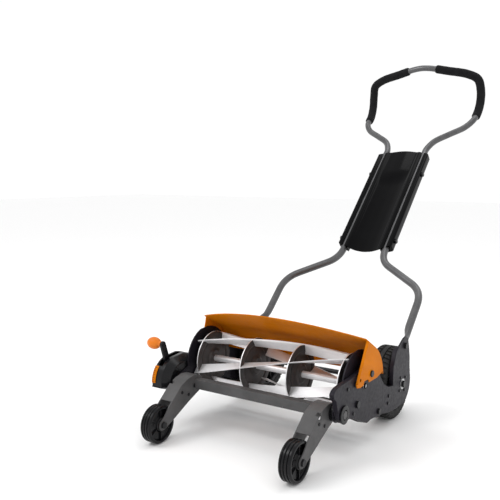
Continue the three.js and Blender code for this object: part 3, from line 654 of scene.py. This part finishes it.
def wheel_rim(word, centre):
    """Moulded rim with its web, hub and ten ribs on each face."""
    corners = [
        (-26, 7.3, 0.4), (-26, 17, 2), (-22, 20, 3), (-4, 24, 4), (-4, 62, 4), (-22, 67.5, 3),
        (-26, 69.5, 1), (-26, 73.4, 1), (26, 73.4, 1), (26, 69.5, 1), (22, 67.5, 3), (1, 62, 4),
        (1, 24, 4), (22, 20, 3), (26, 17, 2), (26, 7.3, 0.4),
    ]
    name = f"rim_{word}"
    mesh = turned(name, rounded(corners, 4), centre, 96)
    crisp(piece(name, mesh, "drive_wheels", "black_plastic", [f"wheel_{name}"]), 40)
    angles = [36 * i for i in range(10)]
    ribs(name, "drive_wheels", centre, angles, (19, 67), ((2, 2.4), (19, 1.6)), 0.8)


def front_wheel(word, centre):
    """Small solid wheel with three grooves round its tread and a dish with six ribs on each face."""
    half = [
        (1.4, 45.2, 0.4), (2.6, 48, 0.7), (6.2, 48, 0.7), (7.2, 45.2, 0.4), (9.2, 45.2, 0.4),
        (10.2, 47.9, 0.7), (13.2, 47.6, 0.8), (16, 45, 2), (16, 40.4, 0.8), (13.6, 39, 1),
        (8.2, 37.6, 2), (8.2, 19, 2.5), (14, 17, 2), (16, 15.5, 0.8), (16, 6.2, 0.4),
    ]
    corners = [(-a, r, k) for a, r, k in half] + [(a, r, k) for a, r, k in reversed(half)]
    name = f"wheel_{word}"
    node = f"front_{name}"
    crisp(piece(name, turned(name, rounded(corners), centre, 96), node, "black_plastic", [node]), 38)
    angles = [30 + 60 * i for i in range(6)]
    ribs(name, node, centre, angles, (16.5, 39), ((7, 1.5), (12.6, 1.1)), 0.5)


def make_wheels():
    for word, _ in SIDES:
        centre = beside(f"tyre_{word}", AXLE)
        drive_tyre(word, centre)
        wheel_rim(word, centre)
    front_wheel("left", FRONT_LEFT)
    front_wheel("right", FRONT_RIGHT)
    for node in ("axle_sprocket", "drive_chain"):
        dress(node, "zinc_steel", 0.3)
    dress("drive_axle", "dark_hardware", 0.5)


# ---- chassis ----

COVER_FACE = 250.1


def axle_screws(word, side):
    """Four screws round one end of the drive axle."""
    span = (side * COVER_FACE, side * (COVER_FACE + 2.2))
    for i, angle in enumerate((35, 125, 215, 305)):
        name = f"axle_screw_{word}_{i + 1}"
        boss(name, "chassis", "dark_hardware", span, 4, around(AXLE, 25, angle), 24)


def cover_rivets():
    """Four rivets on the right side cover."""
    span = (COVER_FACE, COVER_FACE + 2.3)
    for i, place in enumerate(((150, 74), (155, 92), (-92, 176), (-60, 108))):
        boss(f"rivet_{i + 1}", "chassis", "dark_hardware", span, 4.6, place, 24)


def scale_marks():
    """Short dark lines across the height scale."""
    low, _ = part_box("height_scale")
    x0 = (low.x - REEL.x) / MM + 1
    first, pitch, half_turn = 143, 4.2, 0.5
    foot, top = 64.2, 64.75
    outline = [(foot, -half_turn), (foot, half_turn), (top, half_turn), (top, -half_turn)]
    for i in range(9):
        length = 8 if i % 2 == 0 else 5
        corners = []
        for x in (x0, x0 + length):
            corners += [(x, *around(HINGE, r, first + pitch * i + turn)) for r, turn in outline]
        plank(f"scale_mark_{i + 1}", "chassis", "black_plastic", corners, 0.05)


def make_chassis():
    for node in ("side_plate_left", "side_plate_right", "bedknife_carrier"):
        dress(node, "side_casting", 0.7)
    for node in ("chain_case_left", "side_cover_right"):
        dress(node, "side_casting", 1.2, 3)
    dress("bedknife", "blade_steel", 0.3)
    dress("height_housing", "black_plastic", 1.6, 3)
    dress("height_scale", "orange_plastic", 0.4)
    dress("tie_rod", "dark_hardware", 0.6)
    for word, side in SIDES:
        for part in ("reel_bearing", "axle_bearing"):
            dress(f"{part}_{word}", "zinc_steel", 0.5)
        for part in ("bedknife_screw", "handle_bolt", "chute_pin"):
            dress(f"{part}_{word}", "dark_hardware", 0.5)
        dress(f"hinge_bush_{word}", "black_plastic", 0.8)
        axle_screws(word, side)
    cover_rivets()
    cap = (COVER_FACE, COVER_FACE + 4.1)
    boss("hinge_cap", "chassis", "black_plastic", cap, 22, side_view(HINGE), 64, 12)
    scale_marks()


# ---- front carriage ----


def fork_rivets(word, side):
    """Three rivets on the inner and the outer face of a fork."""
    sheet = {"in": 180.4, "out": 220.8}
    head = 2.2
    places = ((-124, 118), (-176, 112), (-150, 100))
    radii = (6, 4.2, 4.2)
    for i, (place, r) in enumerate(zip(places, radii)):
        for way, face in FACES:
            x = side * sheet[way]
            name = f"fork_rivet_{word}_{way}_{i + 1}"
            boss(name, "carriage", "dark_hardware", (x, x + side * face * head), r, place, 24)


def lever_knob():
    """A slightly flattened ball on a short collar, as wide as its CAD node."""
    low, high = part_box("lever_knob")
    steps = 12
    first, sweep = 26, 153.5
    bore = 0.3
    corners = [(16, bore, 0.1), (16, 6.4, 1.2)]
    for i in range(steps + 1):
        a = math.radians(first + sweep * i / steps)
        corners.append((15.2 * math.cos(a) - 2.1, max(bore, 16.6 * math.sin(a)), 0.5))
    width = (high.x - low.x) / MM
    left = min(x for x, _, _ in corners)
    right = max(x for x, _, _ in corners)
    fitted = [((x - left) / (right - left) * width - width / 2, r, k) for x, r, k in corners]
    knob = turned("knob", rounded(fitted, 2), (low + high) / 2, 48)
    crisp(piece("knob", knob, "carriage", "orange_plastic", ["lever_knob"], "knob"), 50)


def make_carriage():
    dress("carriage_frame", "carriage_paint", 0.8)
    dress("front_axle_left", "dark_hardware", 0.6)
    dress("front_axle_right", "dark_hardware", 0.6)
    dress("height_lever", "black_plastic", 1.6, 3)
    for word, side in SIDES:
        fork_rivets(word, side)
    lever_knob()


# ---- chute ----


def chute_flange():
    """A flange turned outwards down the front edge of the open side."""
    inner, outer, thick = 253.4, 260.1, 3
    top, foot = Vector((-1.4, 274.4)), Vector((-57.6, 180.2))
    back = Vector((top.y - foot.y, foot.x - top.x)).normalized() * thick
    corners = []
    for end in (top, foot):
        corners += [(inner, *end), (outer, *end), (outer, *(end + back)), (inner, *(end + back))]
    plank("chute_flange", "chute", "orange_plastic", corners, 0.8)


def chute_ribs():
    """Nine short upright ribs on the rear of the sheet."""
    count, pitch, half = 9, 50, 1.2
    root, crest = 99.3, 103
    outline = [(-half, root), (half, root), (half, crest), (-half, crest)]
    for i in range(count):
        x = pitch * (i - (count - 1) / 2)
        corners = []
        for angle in (8, 30):
            corners += [(x + off, *around(REEL, r, angle)) for off, r in outline]
        plank(f"chute_rib_{i + 1}", "chute", "orange_plastic", corners, 0.6)


def make_chute():
    dress("chute", "orange_plastic", 0.9, 3, 30)
    chute_flange()
    chute_ribs()


# ---- handle ----

SLOPE = math.radians(43.4)
PANEL_Y, PANEL_Z = 530.0, 431.85
PANEL_HALF = 93
TUBE_IN, TUBE_OUT = 72, 234
TUBE_R = 11.0
BOLT_X = 241.4
LOOP_R = 10.5
GRIP_R = 14.9


def on_slope(x, y):
    """The point of the handle's sloping plane above x and y."""
    return at(x, y, PANEL_Z + (y - PANEL_Y) * math.tan(SLOPE))


def on_panel(u, v, w):
    """A point across, up and out of the panel, in millimetres."""
    y = PANEL_Y + v * math.cos(SLOPE) - w * math.sin(SLOPE)
    z = PANEL_Z + v * math.sin(SLOPE) + w * math.cos(SLOPE)
    return at(u, y, z)


def bend(corner, before, after, reach, steps):
    """A bend that starts and ends at a distance from its corner."""
    start = corner + (before - corner).normalized() * reach * MM
    end = corner + (after - corner).normalized() * reach * MM
    return arc_through(start, corner, end, steps)


def lower_tube(word, sign):
    """A bent tube whose lower end is pressed flat over the handle bolt."""
    foot, knee = on_slope(sign * TUBE_OUT, 330), on_slope(sign * TUBE_OUT, 424)
    waist, head = on_slope(sign * TUBE_IN, 498), on_slope(sign * TUBE_IN, 696)
    pressed = [
        (at(sign * BOLT_X, 249.5, 199), 3.0, 4.0),
        (at(sign * BOLT_X, 250.6, 199.5), 3.0, 8.5),
        (at(sign * BOLT_X, 254, 201), 3.0, 12.0),
        (at(sign * BOLT_X, 262, 204.5), 3.0, 13.2),
        (at(sign * BOLT_X, 274, 209), 3.0, 13.4),
        (at(sign * 241, 286, 214), 3.3, 13.4),
        (at(sign * 239.6, 298, 218.5), 5.0, 13.0),
        (at(sign * 237, 310, 224), 7.6, 12.2),
        (on_slope(sign * 234.8, 320), 10.0, 11.4),
    ]
    path = [foot + (knee - foot) * i / 8 for i in range(6)]
    path += bend(knee, foot, waist, 48, 14)
    path += bend(waist, knee, head, 42, 12)
    path += [waist + (head - waist) * i / 8 for i in range(2, 9)]
    points, widths, heights = zip(*pressed, *((point, TUBE_R, TUBE_R) for point in path))
    mesh = swept(f"tube_{word}", points, widths, heights, 32, Vector((1, 0, 0)))
    crisp(piece(f"tube_{word}", mesh, "handle", "tube_metal", [f"lower_tube_{word}"]), 50)


def loop_points():
    """The route of the upper tube, from the right of the panel over the top to the left."""
    right = [on_slope(TUBE_IN, y) for y in (697, 790, 856, 873)]
    right += [on_slope(90, 905), on_slope(135, 932), on_slope(180, 957)]
    right += [at(*p) for p in (
        (202, 985, 862), (206, 1022, 892), (208, 1044, 932), (207, 1047, 975),
        (198, 1038, 1011), (165, 1029, 1030), (100, 1020, 1045),
    )]
    left = [Vector((2 * REEL.x - p.x, p.y, p.z)) for p in reversed(right)]
    return right + [at(0, 1010, 1062)] + left


def through(points, steps=24):
    """A smooth curve through the points, with equal numbers of steps between them."""
    ends = [points[0] * 2 - points[1]] + points + [points[-1] * 2 - points[-2]]
    fine = []
    for i in range(1, len(ends) - 2):
        p = ends[i - 1 : i + 3]
        t = [0.0]
        for a, b in zip(p, p[1:]):
            t.append(t[-1] + max((b - a).length, 1e-9) ** 0.5)
        for k in range(steps):
            s = t[1] + (t[2] - t[1]) * k / steps
            a = [p[j] * (t[j + 1] - s) / (t[j + 1] - t[j]) + p[j + 1] * (s - t[j]) / (t[j + 1] - t[j])
                 for j in range(3)]
            b = [a[j] * (t[j + 2] - s) / (t[j + 2] - t[j]) + a[j + 1] * (s - t[j]) / (t[j + 2] - t[j])
                 for j in range(2)]
            fine.append(b[0] * (t[2] - s) / (t[2] - t[1]) + b[1] * (s - t[1]) / (t[2] - t[1]))
    fine.append(points[-1])
    return fine


def evenly(path, first, last, count):
    """Points at equal distances along a stretch of the path, given as shares of its length."""
    travelled = [0.0]
    for a, b in zip(path, path[1:]):
        travelled.append(travelled[-1] + (b - a).length)
    made = []
    j = 0
    for i in range(count + 1):
        wanted = travelled[-1] * (first + (last - first) * i / count)
        while j < len(path) - 2 and travelled[j + 1] < wanted:
            j += 1
        step = (wanted - travelled[j]) / (travelled[j + 1] - travelled[j])
        made.append(path[j] + (path[j + 1] - path[j]) * step)
    return made


def foam_grip(word, path, first, last):
    """A foam sleeve over a stretch of the loop, rounded at its ends and faintly rippled."""
    count = 96
    end_drop, end_run = 2.4, 1.5
    ripple, ripple_turn = 0.12, 0.9
    radii = []
    for i in range(count + 1):
        end = min(i, count - i)
        skin = GRIP_R - end_drop * max(0, 1 - end / end_run) ** 2
        radii.append(skin + ripple * math.sin(i * ripple_turn) * (end > 2))
    name = f"foam_{word}"
    mesh = swept(name, evenly(path, first, last, count), radii, radii, 36)
    grip = piece(name, mesh, "handle", "grip_foam", [f"grip_{word}"])
    crisp(grip, 60)


def make_loop():
    """The upper tube with its two foam grips."""
    path = through(loop_points())
    points = evenly(path, 0, 1, 320)
    radii = [LOOP_R] * len(points)
    loop = swept("loop", points, radii, radii, 32)
    crisp(piece("loop", loop, "handle", "tube_metal", ["upper_loop"]), 40)
    foam_grip("right", path, 18 / 64, 30 / 64)
    foam_grip("left", path, 34 / 64, 46 / 64)


def make_panel():
    """Glossy tray: its dished middle fills out near the top, and each side has a channel for a tube."""
    half = [
        (0, 2, 9), (30, 4, 9), (48, 8.5, 3), (54, 12.6, 2), (60, 13.6, 2), (68, 12.8, 0.8),
        (68.6, 11.5, 0.3), (60.6, 11.3, 1), (60.6, -11.4, 2), (83.4, -11.4, 2), (83.4, 11.3, 1),
        (75.4, 11.5, 0.3), (76, 12.8, 0.8), (85, 14, 2), (90, 14, 1.8), (93, 11.5, 2), (93, -14.4, 3),
        (57, -14.4, 3), (57, 7.5, 2), (49, 5, 3), (30, 0.8, 9), (0, -1.2, 9),
    ]
    section = rounded(half + [(-a, b, r) for a, b, r in reversed(half[1:-1])], 4)
    steps = 48
    foot, foot_bow = 12, 24
    head, head_bow = 438, 18
    dome_start, dome_run, dome_height, dome_half = 295, 60, 9, 52
    rings = []
    for i in range(steps + 1):
        ring = []
        for u, w in section:
            bow = 1 - (u / PANEL_HALF) ** 2
            low = foot - foot_bow * bow
            high = head + head_bow * bow
            v = low + (high - low) * i / steps
            rise = min(1, max(0, (v - dome_start) / dome_run))
            ease = rise * rise * (3 - 2 * rise)
            dome = dome_height * ease * max(0, 1 - (u / dome_half) ** 2)
            ring.append(on_panel(u, v, w + dome))
        rings.append(ring)
    crisp(piece("tray", solid("tray", rings), "handle", "gloss_black", ["handle_panel"]), 45)
    for word, _ in SIDES:
        for height in ("low", "high"):
            dress(f"panel_bolt_{height}_{word}", "black_plastic", 0.8)


def make_handle():
    for word, side in SIDES:
        lower_tube(word, side)
    make_loop()
    make_panel()


make_camera()
make_surroundings()
MATERIAL = make_materials()
make_reel()
make_wheels()
make_chassis()
make_carriage()
make_chute()
make_handle()
